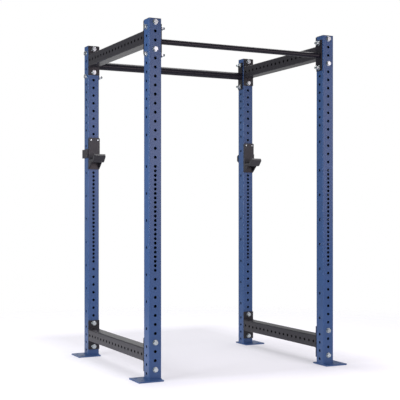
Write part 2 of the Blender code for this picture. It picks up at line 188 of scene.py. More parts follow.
CAMERA_PLACE = (-2.6993, -5.3184, 0.9631)
CAMERA_TURN = -26.629
CAMERA_LENS = 83.57
CAMERA_SENSOR = 36.0
CAMERA_SHIFT = 0.0241

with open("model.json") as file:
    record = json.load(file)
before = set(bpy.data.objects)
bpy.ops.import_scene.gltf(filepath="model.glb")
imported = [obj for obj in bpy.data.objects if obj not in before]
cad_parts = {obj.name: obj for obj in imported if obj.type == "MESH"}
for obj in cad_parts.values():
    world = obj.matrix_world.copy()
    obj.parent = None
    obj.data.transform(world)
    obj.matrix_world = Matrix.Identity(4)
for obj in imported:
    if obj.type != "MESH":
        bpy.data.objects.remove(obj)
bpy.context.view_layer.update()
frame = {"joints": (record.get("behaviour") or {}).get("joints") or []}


# Outlines

def rounded(points, radii, steps=BEND_STEPS):
    """A closed 2-D outline with each corner turned into an arc of its own radius."""
    outline = []
    count = len(points)
    for index, radius in enumerate(radii):
        corner = Vector(points[index])
        if radius == 0.0:
            outline.append(corner)
            continue
        before = (Vector(points[index - 1]) - corner).normalized()
        after = (Vector(points[(index + 1) % count]) - corner).normalized()
        half_angle = before.angle(after) / 2.0
        centre = corner + (before + after).normalized() * radius / math.sin(half_angle)
        start = corner + before * radius / math.tan(half_angle) - centre
        end = corner + after * radius / math.tan(half_angle) - centre
        turn = start.angle_signed(end)
        for step in range(steps + 1):
            outline.append(centre + Matrix.Rotation(-turn * step / steps, 2) @ start)
    return outline


def rectangle(half_width, half_height, radius, steps=BEND_STEPS):
    points = [(half_width, half_height), (-half_width, half_height),
              (-half_width, -half_height), (half_width, -half_height)]
    return rounded(points, [radius] * 4, steps)


def circle(radius, sides):
    turns = [2.0 * math.pi * side / sides for side in range(sides)]
    return [Vector((math.cos(turn), math.sin(turn))) * radius for turn in turns]


def evenly_spaced(outline, step):
    """Points at equal distances round a closed outline, each with its outward normal."""
    lengths = [(outline[(i + 1) % len(outline)] - point).length for i, point in enumerate(outline)]
    count = int(sum(lengths) / step)
    spacing = sum(lengths) / count
    samples = []
    travelled = 0.0
    for index, length in enumerate(lengths):
        start = outline[index]
        along = outline[(index + 1) % len(outline)] - start
        while len(samples) * spacing < travelled + length - spacing * 1e-3:
            share = (len(samples) * spacing - travelled) / length
            samples.append((start + along * share, Vector((along.y, -along.x)).normalized()))
        travelled += length
    return samples


# Meshes

def finished(bm):
    bmesh.ops.remove_doubles(bm, verts=bm.verts, dist=MERGE)
    bmesh.ops.recalc_face_normals(bm, faces=bm.faces)
    mesh = bpy.data.meshes.new("mesh")
    bm.to_mesh(mesh)
    bm.free()
    return mesh


def prism(outline, low, high):
    """A 2-D outline raised from one height to another along Z."""
    bm = bmesh.new()
    face = bm.faces.new([bm.verts.new((*point, low)) for point in outline])
    extruded = bmesh.ops.extrude_face_region(bm, geom=[face])
    moved = [item for item in extruded["geom"] if isinstance(item, bmesh.types.BMVert)]
    bmesh.ops.translate(bm, verts=moved, vec=(0.0, 0.0, high - low))
    return finished(bm)


def turned(profile, sides=ROUND_SIDES):
    """A solid of revolution about Z from (radius, z) points. A radius of 0 closes an end."""
    bm = bmesh.new()
    rings = [[bm.verts.new((*point, z)) for point in circle(max(radius, 1e-7), sides)]
             for radius, z in profile]
    for first, second in zip(rings, rings[1:]):
        for side in range(sides):
            after = (side + 1) % sides
            bm.faces.new((first[side], first[after], second[after], second[side]))
    return finished(bm)


def ring(profile, sides=ROUND_SIDES):
    """A turned ring: the profile's last point joins its first."""
    return turned([*profile, profile[0]], sides)


def placed(mesh, matrix):
    mesh.transform(matrix)
    if matrix.determinant() < 0.0:
        mesh.flip_normals()
    return mesh


def joined(*meshes):
    bm = bmesh.new()
    for mesh in meshes:
        bm.from_mesh(mesh)
    mesh = bpy.data.meshes.new("mesh")
    bm.to_mesh(mesh)
    bm.free()
    return mesh


def combined(base, tools, operation):
    """The base mesh joined with, cut by, or kept inside each of the tools."""
    for tool in tools:
        holder = bpy.data.objects.new("base", base)
        cutter = bpy.data.objects.new("tool", tool)
        for item in (holder, cutter):
            bpy.context.scene.collection.objects.link(item)
        modifier = holder.modifiers.new("boolean", "BOOLEAN")
        modifier.operation = operation
        modifier.object = cutter
        evaluated = holder.evaluated_get(bpy.context.evaluated_depsgraph_get())
        base = bpy.data.meshes.new_from_object(evaluated)
        for item in (holder, cutter):
            bpy.data.objects.remove(item, do_unlink=True)
    return base


def bevelled(mesh, width, segments=2, angle=25.0):
    """The mesh with every sharp edge rounded."""
    bm = bmesh.new()
    bm.from_mesh(mesh)
    bmesh.ops.dissolve_limit(bm, angle_limit=math.radians(0.5), verts=bm.verts, edges=bm.edges)
    sharp = [edge for edge in bm.edges
             if len(edge.link_faces) == 2 and edge.calc_face_angle() > math.radians(angle)]
    bmesh.ops.bevel(bm, geom=sharp, offset=width, segments=segments, profile=0.5,
                    affect="EDGES", clamp_overlap=True)
    return finished(bm)


def copy_turned(mesh, matrix):
    return placed(mesh.copy(), matrix)


def along_x():
    """Turns a piece modelled along Z so that it lies along X, its Y staying Y."""
    return Matrix.Rotation(math.pi / 2.0, 4, "Y")


# Drilled square tube

def drill(bm, outer, inner, centre, normal, tangent):
    """Fills one cell of a tube's wall with a chamfered hole. outer and inner are its four corners."""
    up = normal.cross(tangent)
    half = TUBE / 2.0
    sides = 4 * QUARTER_HOLE

    def rim(distance, radius):
        points = [tangent * point.x + up * point.y for point in circle(radius, sides)]
        return [bm.verts.new(centre + normal * distance + point) for point in points]

    third = HOLE_CHAMFER / 3.0
    rims = [rim(half, HOLE_RADIUS + HOLE_CHAMFER), rim(half - third, HOLE_RADIUS + third),
            rim(half - HOLE_CHAMFER, HOLE_RADIUS), rim(half - WALL, HOLE_RADIUS)]
    for first, second in zip(rims, rims[1:]):
        for side in range(sides):
            after = (side + 1) % sides
            bm.faces.new((first[side], first[after], second[after], second[side]))
    for corners, edge, inside in ((outer, rims[0], 0), (inner, rims[-1], 1)):
        for quarter in range(4):
            start = quarter * QUARTER_HOLE
            fan = [(corners[quarter], edge[side], edge[(side + 1) % sides])
                   for side in range(start, start + QUARTER_HOLE)]
            for triangle in [*fan, (corners[quarter - 1], corners[quarter], edge[start])]:
                bm.faces.new(triangle).material_index = inside


def drilled_tube(start, end, holes_x, holes_y):
    """Square tube along Z, drilled through the walls that face X and Y at the given heights."""
    bm = bmesh.new()
    half_cell = HOLE_CELL / 2.0
    edges = [height + side * half_cell for height in (*holes_x, *holes_y) for side in (-1, 1)]
    levels = sorted({round(height, 6) for height in (start, end, *edges)})
    per_corner = CORNER_STEPS + 1
    outlines = [rectangle(TUBE / 2.0 - inset, TUBE / 2.0 - inset, TUBE_RADIUS - inset, CORNER_STEPS)
                for inset in (0.0, WALL)]
    loops = [[[bm.verts.new((*point, height)) for point in outline] for outline in outlines]
             for height in levels]

    for index, (low, high) in enumerate(zip(levels, levels[1:])):
        below, above = loops[index], loops[index + 1]
        for inside in (0, 1):
            for corner in range(4):
                for step in range(CORNER_STEPS):
                    a = corner * per_corner + step
                    quad = (below[inside][a], below[inside][a + 1], above[inside][a + 1], above[inside][a])
                    bm.faces.new(quad).material_index = inside
        for wall in range(4):
            a = wall * per_corner
            b = a - 1
            corners = [(above[inside][a], above[inside][b], below[inside][b], below[inside][a])
                       for inside in (0, 1)]
            heights = [z for z in (holes_y if wall % 2 else holes_x) if low < z < high]
            if heights:
                normal = Vector((math.cos(wall * math.pi / 2.0), math.sin(wall * math.pi / 2.0), 0.0))
                tangent = Vector((-normal.y, normal.x, 0.0))
                drill(bm, *corners, Vector((0.0, 0.0, heights[0])), normal, tangent)
            else:
                for inside in (0, 1):
                    bm.faces.new(corners[inside]).material_index = inside
    for outer, inner in (loops[0], loops[-1]):
        for index in range(len(outer)):
            after = (index + 1) % len(outer)
            bm.faces.new((outer[index], outer[after], inner[after], inner[index]))
    return finished(bm)


# Welds and plates

def weld_bead(outline, size):
    """A rippled fillet of weld round an outline, on the plane z = 0 and rising to +Z."""
    bm = bmesh.new()
    section = [math.radians(angle) for angle in BEAD_SECTION]
    rings = []
    for index, (point, normal) in enumerate(evenly_spaced(outline, BEAD_STEP)):
        phase = (index * BEAD_STEP / BEAD_RIPPLE) % 1.0
        radius = size * (BEAD_VALLEY + BEAD_CREST * math.sin(math.pi * phase) ** BEAD_ROUNDNESS)
        out = Vector((*normal, 0.0))
        rings.append([bm.verts.new(Vector((*point, 0.0)) + out * math.cos(angle) * radius
                                   + Vector((0.0, 0.0, math.sin(angle) * radius)))
                      for angle in section])
    for index, first in enumerate(rings):
        second = rings[(index + 1) % len(rings)]
        for step in range(len(section)):
            after = (step + 1) % len(section)
            bm.faces.new((first[step], first[after], second[after], second[step]))
    return finished(bm)


def drilled_plate(outline, thickness, holes, hole_radius):
    """A flat plate on z = 0, rising to its thickness, with rounded edges and round holes."""
    plate = prism(outline, 0.0, thickness)
    drills = [placed(prism(circle(hole_radius, 4 * QUARTER_HOLE), -thickness, 2.0 * thickness),
                     Matrix.Translation((*hole, 0.0))) for hole in holes]
    return bevelled(combined(plate, drills, "DIFFERENCE"), PLATE_BEVEL)


def flange(width, height):
    """End flange in the XY plane, its long side along Y, on z = 0."""
    return drilled_plate(rectangle(width / 2.0, height / 2.0, FLANGE_CORNER), FLANGE_THICKNESS,
                         [(0.0, BOLT_SPREAD), (0.0, -BOLT_SPREAD)], HOLE_RADIUS)


# Pieces

def upright_mesh(outward):
    """Upright on its foot, centred on the tube, with the foot reaching to one side."""
    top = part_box("upright_front_left")[1].z
    foot_low, foot_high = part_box("upright_front_left")
    foot = foot_high.x - foot_low.x
    datum = top + HOLE_DATUM_RISE
    tube = drilled_tube(FOOT_THICKNESS, top, [datum - below * INCH for below in SIDE_HOLES],
                        [datum - below * INCH for below in FACE_HOLES])
    shift = outward * (foot - TUBE) / 2.0
    anchor_x = outward * (foot / 2.0 - ANCHOR_INSET)
    anchor_y = foot / 2.0 - ANCHOR_INSET
    plate = drilled_plate(rectangle(foot / 2.0, foot / 2.0, FOOT_CORNER), FOOT_THICKNESS,
                          [(anchor_x, anchor_y), (anchor_x, -anchor_y)], ANCHOR_RADIUS)
    placed(plate, Matrix.Translation((shift, 0.0, 0.0)))
    bead = weld_bead(rectangle(TUBE / 2.0, TUBE / 2.0, TUBE_RADIUS), BEAD)
    placed(bead, Matrix.Translation((0.0, 0.0, FOOT_THICKNESS)))
    return joined(tube, plate, bead)


def crossmember_mesh(length, flange_height):
    """Drilled tube along Y between two welded flanges, centred on the origin."""
    inner = length / 2.0 - FLANGE_THICKNESS
    tube = drilled_tube(-inner, inner, [], [inches * INCH for inches in CROSSMEMBER_HOLES])
    to_y = Matrix.Rotation(-math.pi / 2.0, 4, "X") @ Matrix.Rotation(math.pi / 2.0, 4, "Z")
    parts = [placed(tube, to_y)]
    for turn in (0.0, math.pi):
        end = Matrix.Rotation(turn, 4, "Z") @ Matrix.Translation((0.0, inner, 0.0))
        upright_plate = end @ Matrix.Rotation(-math.pi / 2.0, 4, "X")
        parts.append(placed(flange(TUBE, flange_height), upright_plate))
        bead = weld_bead(rectangle(TUBE / 2.0, TUBE / 2.0, TUBE_RADIUS), BEAD)
        # The tube is as wide as the flange, so the weld is flush at the sides
        flush = TUBE / 2.0 + BEAD_PROUD
        within = prism(rectangle(flush, TUBE, 0.001), -BEAD, 2.0 * BEAD)
        bead = combined(bead, [within], "INTERSECT")
        parts.append(placed(bead, end @ Matrix.Rotation(math.pi / 2.0, 4, "X")))
    return joined(*parts)


def pullup_bar_mesh(length, flange_width, flange_height, radius):
    """Round bar along X between two welded flanges, centred on the origin."""
    inner = length / 2.0 - FLANGE_THICKNESS
    stations = [-inner + 2.0 * inner * step / BAR_SPANS for step in range(BAR_SPANS + 1)]
    bar = turned([(0.0, -inner), *[(radius, z) for z in stations], (0.0, inner)], BAR_SIDES)
    parts = [placed(bar, along_x())]
    for turn in (0.0, math.pi):
        end = Matrix.Rotation(turn, 4, "Z") @ Matrix.Translation((inner, 0.0, 0.0)) @ along_x()
        parts.append(placed(flange(flange_width, flange_height),
                            end @ Matrix.Rotation(math.pi / 2.0, 4, "Z")))
        bead = weld_bead(circle(radius, BAR_SIDES)[::-1], BAR_BEAD)
        parts.append(placed(bead, end @ Matrix.Rotation(math.pi, 4, "X")))
    return joined(*parts)


def hexagon(height, chamfer_both):
    """Hexagonal prism on z = 0 with its corners turned off at the top, or at both ends."""
    corner = HEX_FLAT / math.cos(math.pi / 6.0)
    flat_end = HEX_FLAT * HEX_TOP
    drop = (corner - flat_end) * HEX_SLOPE
    low = [(flat_end, 0.0), (corner, drop)] if chamfer_both else [(corner, 0.0)]
    envelope = turned([(0.0, 0.0), *low, (corner, height - drop), (flat_end, height), (0.0, height)])
    return combined(prism(circle(corner, 6), 0.0, height), [envelope], "INTERSECT")


def washer(thickness, radius, bore):
    edge = thickness / 5.0
    return ring([(bore, 0.0), (radius - edge, 0.0), (radius, edge), (radius, thickness - edge),
                 (radius - edge, thickness), (bore, thickness)])


def bolt_mesh(length):
    """Bolt, washers and nut along +Z from the outer face of the head, in their clamped places."""
    nut_low = length - BOLT_END - NUT_HEIGHT
    head = placed(hexagon(HEAD_HEIGHT, False), Matrix.Translation((0.0, 0.0, HEAD_HEIGHT))
                  @ Matrix.Rotation(math.pi, 4, "X"))
    nut = placed(hexagon(NUT_HEIGHT, True), Matrix.Translation((0.0, 0.0, nut_low)))
    washers = [placed(washer(WASHER_THICKNESS, WASHER_RADIUS, BOLT_RADIUS),
                      Matrix.Translation((0.0, 0.0, low)))
               for low in (HEAD_HEIGHT, nut_low - WASHER_THICKNESS)]
    shank = turned([(0.0, HEAD_HEIGHT), (BOLT_RADIUS, HEAD_HEIGHT), (BOLT_RADIUS, nut_low),
                    (BOLT_RADIUS, nut_low + NUT_HEIGHT), (0.0, nut_low + NUT_HEIGHT)])
    tip = placed(spiral_tip(), Matrix.Translation((0.0, 0.0, nut_low + NUT_HEIGHT)))
    return joined(bevelled(head, HEX_BEVEL), bevelled(nut, HEX_BEVEL), *washers, shank, tip)


def spiral_tip():
    """The thread that stands out of the nut."""
    bm = bmesh.new()
    turns = BOLT_END / THREAD_PITCH
    rows = []
    for step in range(int(turns * 4) + 5):
        depth = THREAD_DEPTHS[step % 4]
        row = []
        for side in range(ROUND_SIDES + 1):
            height = (step / 4.0 - 1.0 + side / ROUND_SIDES) * THREAD_PITCH
            height = min(max(height, 0.0), BOLT_END)
            crest = BOLT_RADIUS - depth * THREAD_DEPTH
            crest = min(crest, BOLT_RADIUS - THREAD_DEPTH + BOLT_END - height)
            angle = 2.0 * math.pi * side / ROUND_SIDES
            row.append(bm.verts.new((math.cos(angle) * crest, math.sin(angle) * crest, height)))
        rows.append(row)
    for first, second in zip(rows, rows[1:]):
        for side in range(ROUND_SIDES):
            bm.faces.new((first[side], first[side + 1], second[side + 1], second[side]))
    bmesh.ops.remove_doubles(bm, verts=bm.verts, dist=MERGE)
    open_edges = [edge for edge in bm.edges if len(edge.link_faces) == 1]
    bmesh.ops.holes_fill(bm, edges=open_edges, sides=0)
    return finished(bm)


def cap_mesh():
    """Plastic cap: a slightly domed plate over the tube's end, on z = 0, with a plug below."""
    half = TUBE / 2.0
    bm = bmesh.new()
    loops = []
    for inset, rise in CAP_DOME:
        outline = rectangle(half - inset, half - inset, max(TUBE_RADIUS - inset, CAP_LEAST_RADIUS))
        loops.append([bm.verts.new((*point, rise * CAP_THICKNESS)) for point in outline])
    for first, second in zip(loops, loops[1:]):
        for index in range(len(first)):
            after = (index + 1) % len(first)
            bm.faces.new((first[index], first[after], second[after], second[index]))
    bm.faces.new(loops[0])
    bm.faces.new(loops[-1])
    plug_half = half - WALL - CAP_PLUG_CLEARANCE
    plug = prism(rectangle(plug_half, plug_half, CAP_PLUG_RADIUS), -CAP_PLUG_DEPTH, 0.0)
    return joined(finished(bm), plug)


# J-cup, modelled for the left side, with the wing towards -X

def lip_point(along, inward):
    """A point in the side view: a share of the way up the lip, and so far behind its face."""
    direction = LIP_TIP - LIP_BASE
    normal = Vector((-direction.y, direction.x)).normalized()
    return LIP_BASE + direction * along + normal * inward


def lip_at_height(z, inward):
    """The forward distance at which a line parallel to the lip's face reaches a height."""
    base = lip_point(0.0, inward)
    direction = LIP_TIP - LIP_BASE
    return base.x + (z - base.y) / direction.y * direction.x


def side_view(points, radii, x_low, x_high):
    """A (forward, z) outline with round corners, extruded between two X positions."""
    return placed(prism(rounded(points, radii), x_low, x_high), FROM_SIDE)


def front_view(points, radii, forward_low, forward_high):
    """An (x, z) outline with round corners, extruded between two forward distances."""
    return placed(prism(rounded(points, radii), forward_low, forward_high), FROM_FRONT)


def forward_rods(places, radius, low, high):
    """Cutters for holes that run forward, at (x, z) places."""
    return [placed(prism(circle(radius, SCREW_SIDES), low, high),
                   Matrix.Translation((x, 0.0, z)) @ FROM_FRONT) for x, z in places]


def bent_plate():
    """Back plate, shelf and lip. The plate's corners are round when seen from the front."""
    half = TUBE / 2.0
    front = GAP + PLATE
    profile = [
        (GAP, JCUP_TOP), (front, JCUP_TOP), (front, SHELF_TOP),
        (lip_at_height(SHELF_TOP, PLATE), SHELF_TOP), lip_point(1.0, PLATE), LIP_TIP, LIP_BASE,
        (front, SHELF_BOTTOM), (front, JCUP_BOTTOM), (GAP, JCUP_BOTTOM),
    ]
    radii = [0.0, 0.0, 0.0, INNER_BEND, 0.0, 0.0, OUTER_BEND, 0.0, 0.0, 0.0]
    outline = [(-half, JCUP_BOTTOM), (half, JCUP_BOTTOM), (half, JCUP_TOP), (-half, JCUP_TOP)]
    corners = [BOTTOM_CORNER, BOTTOM_CORNER, TOP_CORNER, TOP_CORNER]
    shape = front_view(outline, corners, -CUT_MARGIN, CUT_REACH)
    body = combined(side_view(profile, radii, -half, half), [shape], "INTERSECT")
    return combined(body, [lip_corner_cutter(side) for side in (-1, 1)], "DIFFERENCE")


def lip_corner_cutter(side):
    """Takes one corner of the lip's edge off, outside an arc in the lip's own plane."""
    along = Vector((0.0, -(LIP_TIP - LIP_BASE).x, (LIP_TIP - LIP_BASE).y)).normalized()
    across = Vector((1.0, 0.0, 0.0))
    normal = across.cross(along)
    corner = Vector((0.0, -LIP_TIP.x, LIP_TIP.y)) + across * side * TUBE / 2.0
    centre = corner - across * side * LIP_ROUND - along * LIP_ROUND
    points = []
    for step in range(BEND_STEPS + 1):
        angle = math.radians(90.0 * step / BEND_STEPS)
        points.append(centre + (across * side * math.cos(angle) + along * math.sin(angle)) * LIP_ROUND)
    points += [corner - across * side * LIP_ROUND + along * CUT_MARGIN,
               corner + across * side * CUT_MARGIN + along * CUT_MARGIN,
               corner + across * side * CUT_MARGIN - along * LIP_ROUND]
    bm = bmesh.new()
    face = bm.faces.new([bm.verts.new(point - normal * CUT_MARGIN) for point in points])
    extruded = bmesh.ops.extrude_face_region(bm, geom=[face])
    moved = [item for item in extruded["geom"] if isinstance(item, bmesh.types.BMVert)]
    bmesh.ops.translate(bm, verts=moved, vec=normal * 2.0 * CUT_MARGIN)
    return finished(bm)


def gussets():
    """The two plates that hold the shelf up from below."""
    half = TUBE / 2.0
    front = GAP + PLATE
    inside = PLATE / 2.0
    outline = [(inside, JCUP_BOTTOM + GUSSET_RISE), (inside, SHELF_BOTTOM + inside),
               (GUSSET_FORWARD, SHELF_BOTTOM + inside), (GUSSET_FORWARD, SHELF_BOTTOM - GUSSET_DROP),
               (front, JCUP_BOTTOM + GUSSET_RISE)]
    return [side_view(outline, [0.0] * 5, low, low + PLATE - GAP) for low in (-half + GAP, half - PLATE)]


def wing():
    """A bent strip that goes out from the plate, back along the upright and behind it."""
    half = TUBE / 2.0
    front = GAP + PLATE - WING_OVERLAP
    root = -half + PLATE / 2.0
    inner = -half - GAP
    outer = inner - WING_THICKNESS
    return_front = TUBE + RETURN_GAP
    return_rear = return_front + WING_THICKNESS
    strip = [(root, -front), (outer, -front), (outer, return_rear), (half, return_rear),
             (half, return_front), (inner, return_front), (inner, -GAP), (root, -GAP)]
    radii = [0.0, WING_ROOT_BEND, WING_OUTER_BEND, 0.0, 0.0, WING_INNER_BEND, 0.0, 0.0]
    bent = prism(rounded(strip, radii), WING_BOTTOM, WING_TOP)
    tip = half - RETURN_CHAMFER
    silhouette = [(outer - CUT_MARGIN, WING_BOTTOM), (tip, WING_BOTTOM),
                  (half, WING_BOTTOM + RETURN_CHAMFER), (half, WING_TOP - RETURN_CHAMFER),
                  (tip, WING_TOP), (outer - CUT_MARGIN, WING_TOP)]
    shape = front_view(silhouette, [0.0, *[WING_ROUND] * 4, 0.0], -CUT_REACH, CUT_REACH)
    return combined(bent, [shape], "INTERSECT")


def bracket_mesh():
    front = GAP + PLATE
    body = combined(bent_plate(), [*gussets(), wing()], "UNION")
    holes = forward_rods([(0.0, 0.0)], PIN_RADIUS + GAP, -front, 2.0 * front)
    holes += forward_rods(SCREW_PLACES, SCREW_RADIUS + GAP, -front, 2.0 * front)
    return bevelled(combined(body, holes, "DIFFERENCE"), BRACKET_BEVEL)


def back_liner_mesh():
    back = 2.0 * GAP + PLATE
    front = back + BACK_LINER
    half = TUBE / 2.0 - LINER_INSET
    low = SHELF_TOP + GAP
    outline = [(-half, low), (half, low), (half, JCUP_TOP), (-half, JCUP_TOP)]
    sheet = front_view(outline, [0.0, 0.0, TOP_CORNER, TOP_CORNER], back, front)
    holes = forward_rods(SCREW_PLACES, SCREW_RADIUS + GAP, 0.0, 2.0 * front)
    return bevelled(combined(sheet, holes, "DIFFERENCE"), BACK_LINER_BEVEL, 3)


def saddle_liner_mesh():
    start = 3.0 * GAP + PLATE + BACK_LINER
    bottom = SHELF_TOP + GAP
    top = bottom + SADDLE_LINER
    outer = PLATE + GAP
    inner = outer + SADDLE_LINER
    profile = [
        (start, bottom), (lip_at_height(bottom, outer), bottom), lip_point(LINER_LIP_SHARE, outer),
        lip_point(LINER_LIP_SHARE, inner), (lip_at_height(top, inner), top), (start, top),
    ]
    radii = [0.0, INNER_BEND, 0.0015, 0.003, OUTER_BEND, 0.001]
    half = TUBE / 2.0 - LINER_INSET
    return bevelled(side_view(profile, radii, -half, half), SADDLE_LINER_BEVEL, 3)


def screw_mesh():
    """Button-head screw running forward, with a hexagonal socket."""
    face = 3.0 * GAP + PLATE + BACK_LINER
    radius, height = SCREW_HEAD_RADIUS, SCREW_HEAD_HEIGHT
    dome = []
    for angle in map(math.radians, (4, 16, 28, 40, 52, 64, 74, 82)):
        rise = 0.20 + 0.80 * math.sin(angle) ** 0.6
        dome.append((radius * math.cos(angle) ** 0.55, height * rise))
    head = turned([(0.0, 0.0), (radius, 0.0), *dome, (0.0, height)], SCREW_SIDES)
    socket = prism(circle(radius * SOCKET_SHARE, 6), height * 0.4, height * 2.0)
    head = combined(head, [socket], "DIFFERENCE")
    back = GAP - face
    shank = turned([(0.0, back), (SCREW_RADIUS, back), (SCREW_RADIUS, 0.0), (0.0, 0.0)], SCREW_SIDES)
    place = Matrix.Translation((0.0, -face, 0.0)) @ FROM_FRONT
    return placed(joined(bevelled(head, SCREW_BEVEL, 2, 40.0), shank), place)


def pin_mesh():
    """Locating pin: through the back plate and into the upright's hole, with a rounded nose."""
    front = GAP + PLATE
    nose = []
    for angle in map(math.radians, range(0, 91, 15)):
        nose.append((PIN_RADIUS - PIN_NOSE + PIN_NOSE * math.cos(angle),
                     PIN_LENGTH - PIN_NOSE + PIN_NOSE * math.sin(angle)))
    rod = turned([(0.0, -front), (PIN_RADIUS - PIN_CHAMFER, -front), (PIN_RADIUS, -front + PIN_CHAMFER),
                  *nose, (0.0, PIN_LENGTH)])
    return placed(rod, Matrix.Rotation(-math.pi / 2.0, 4, "X"))


# Materials

ZINC_TONES = ((0.45, 0.50, 0.52), (0.53, 0.58, 0.60))
MILL_SCALE_TONES = ((0.004, 0.004, 0.005), (0.016, 0.014, 0.014))


def new_material(name):
    material = bpy.data.materials.new(name)
    material.use_nodes = True
    nodes = material.node_tree.nodes
    return material, nodes, material.node_tree.links, nodes["Principled BSDF"]


def noise(nodes, links, coordinates, scale, detail=4.0, roughness=0.5):
    texture = nodes.new("ShaderNodeTexNoise")
    texture.inputs["Scale"].default_value = scale
    texture.inputs["Detail"].default_value = detail
    texture.inputs["Roughness"].default_value = roughness
    links.new(coordinates, texture.inputs["Vector"])
    return texture.outputs["Fac"]


def spread(nodes, links, value, low, high, start=0.3, end=0.7):
    """Maps a noise value onto a range of roughness or colour mixing."""
    node = nodes.new("ShaderNodeMapRange")
    node.inputs["From Min"].default_value = start
    node.inputs["From Max"].default_value = end
    node.inputs["To Min"].default_value = low
    node.inputs["To Max"].default_value = high
    links.new(value, node.inputs["Value"])
    return node.outputs["Result"]


def two_tone(nodes, links, factor, dark, light):
    mix = nodes.new("ShaderNodeMix")
    mix.data_type = "RGBA"
    mix.inputs["A"].default_value = (*dark, 1.0)
    mix.inputs["B"].default_value = (*light, 1.0)
    links.new(factor, mix.inputs["Factor"])
    return mix.outputs["Result"]


def bump(nodes, links, height, strength, distance, before=None):
    node = nodes.new("ShaderNodeBump")
    node.inputs["Strength"].default_value = strength
    node.inputs["Distance"].default_value = distance
    links.new(height, node.inputs["Height"])
    if before is not None:
        links.new(before, node.inputs["Normal"])
    return node.outputs["Normal"]


def shaded(colour, share):
    return tuple(channel * share for channel in colour)


def powder_coat(name, colour, roughness, specular):
    """Baked powder coat: an even colour with faint clouding over a fine orange-peel skin."""
    material, nodes, links, shader = new_material(name)
    place = nodes.new("ShaderNodeTexCoord").outputs["Object"]
    clouds = noise(nodes, links, place, scale=7.0, detail=3.0)
    links.new(two_tone(nodes, links, spread(nodes, links, clouds, 0.0, 1.0), shaded(colour, 0.93),
                       shaded(colour, 1.07)), shader.inputs["Base Color"])
    grain = noise(nodes, links, place, scale=420.0, detail=3.0, roughness=0.6)
    links.new(spread(nodes, links, grain, roughness - 0.05, roughness + 0.06), shader.inputs["Roughness"])
    skin = noise(nodes, links, place, scale=260.0, detail=2.0)
    peel = bump(nodes, links, skin, strength=0.30, distance=0.00012)
    surface = bump(nodes, links, grain, strength=0.25, distance=0.00006, before=peel)
    links.new(surface, shader.inputs["Normal"])
    shader.inputs["Specular IOR Level"].default_value = specular
    return material


def zinc_plate(name):
    """Bright zinc on forged steel: faint mottling, fine scratches and soft dents in the shine."""
    material, nodes, links, shader = new_material(name)
    place = nodes.new("ShaderNodeTexCoord").outputs["Object"]
    mottle = noise(nodes, links, place, scale=160.0, detail=5.0, roughness=0.6)
    links.new(two_tone(nodes, links, spread(nodes, links, mottle, 0.0, 1.0), *ZINC_TONES),
              shader.inputs["Base Color"])
    scratches = noise(nodes, links, place, scale=1400.0, detail=2.0, roughness=0.7)
    links.new(spread(nodes, links, mottle, 0.22, 0.30), shader.inputs["Roughness"])
    links.new(bump(nodes, links, scratches, strength=0.1, distance=0.00002), shader.inputs["Normal"])
    shader.inputs["Metallic"].default_value = 1.0
    return material


def moulded_plastic(name, colour, roughness):
    """Tough matte plastic with a fine moulded grain and scuffs."""
    material, nodes, links, shader = new_material(name)
    place = nodes.new("ShaderNodeTexCoord").outputs["Object"]
    scuffs = noise(nodes, links, place, scale=35.0, detail=6.0, roughness=0.65)
    links.new(two_tone(nodes, links, spread(nodes, links, scuffs, 0.0, 1.0), shaded(colour, 0.85),
                       shaded(colour, 1.2)), shader.inputs["Base Color"])
    grain = noise(nodes, links, place, scale=900.0, detail=2.0)
    links.new(spread(nodes, links, scuffs, roughness - 0.07, roughness + 0.08), shader.inputs["Roughness"])
    links.new(bump(nodes, links, grain, strength=0.35, distance=0.00008), shader.inputs["Normal"])
    return material


def bare_inside(name):
    """Dark mill scale inside the tubes, where the coating thins out."""
    material, nodes, links, shader = new_material(name)
    place = nodes.new("ShaderNodeTexCoord").outputs["Object"]
    flakes = noise(nodes, links, place, scale=60.0, detail=6.0, roughness=0.6)
    links.new(two_tone(nodes, links, spread(nodes, links, flakes, 0.0, 1.0), *MILL_SCALE_TONES),
              shader.inputs["Base Color"])
    links.new(spread(nodes, links, flakes, 0.6, 0.9), shader.inputs["Roughness"])
    links.new(bump(nodes, links, flakes, strength=0.3, distance=0.0002), shader.inputs["Normal"])
    return material


# Name, colour, roughness and, for the powder coats, how strongly they mirror
BLUE = powder_coat("blue_powder_coat_finish", (0.025, 0.076, 0.216), 0.38, 0.5)
BLACK = powder_coat("black_powder_coat_finish", (0.018, 0.017, 0.023), 0.36, 0.35)
BAR_BLACK = powder_coat("pullup_bar_finish", (0.012, 0.0112, 0.018), 0.26, 0.19)
ZINC = zinc_plate("zinc_finish")
PLASTIC = moulded_plastic("liner_plastic_finish", (0.030, 0.030, 0.038), 0.50)
CAP = moulded_plastic("cap_plastic_finish", (0.018, 0.018, 0.019), 0.45)
INSIDE = bare_inside("tube_inside_finish")


# Placing the pieces

def add_piece(node, mesh, materials, body, place):
    """Shows a mesh in a CAD node's place. place may be a matrix or a position."""
    piece = bpy.data.objects.new(node + "_finished", mesh)
    bpy.context.scene.collection.objects.link(piece)
    piece.matrix_world = place if isinstance(place, Matrix) else Matrix.Translation(place)
    if not mesh.materials:
        for material in materials:
            mesh.materials.append(material)
        mesh.shade_smooth()
        mesh.set_sharp_from_angle(angle=math.radians(SMOOTH_ANGLE))
    modifier = piece.modifiers.new("even_shading", "WEIGHTED_NORMAL")
    modifier.keep_sharp = True
    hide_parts(node)
    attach(piece, body)
    return piece


def centre_of(node):
    low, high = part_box(node)
    return (low + high) / 2.0


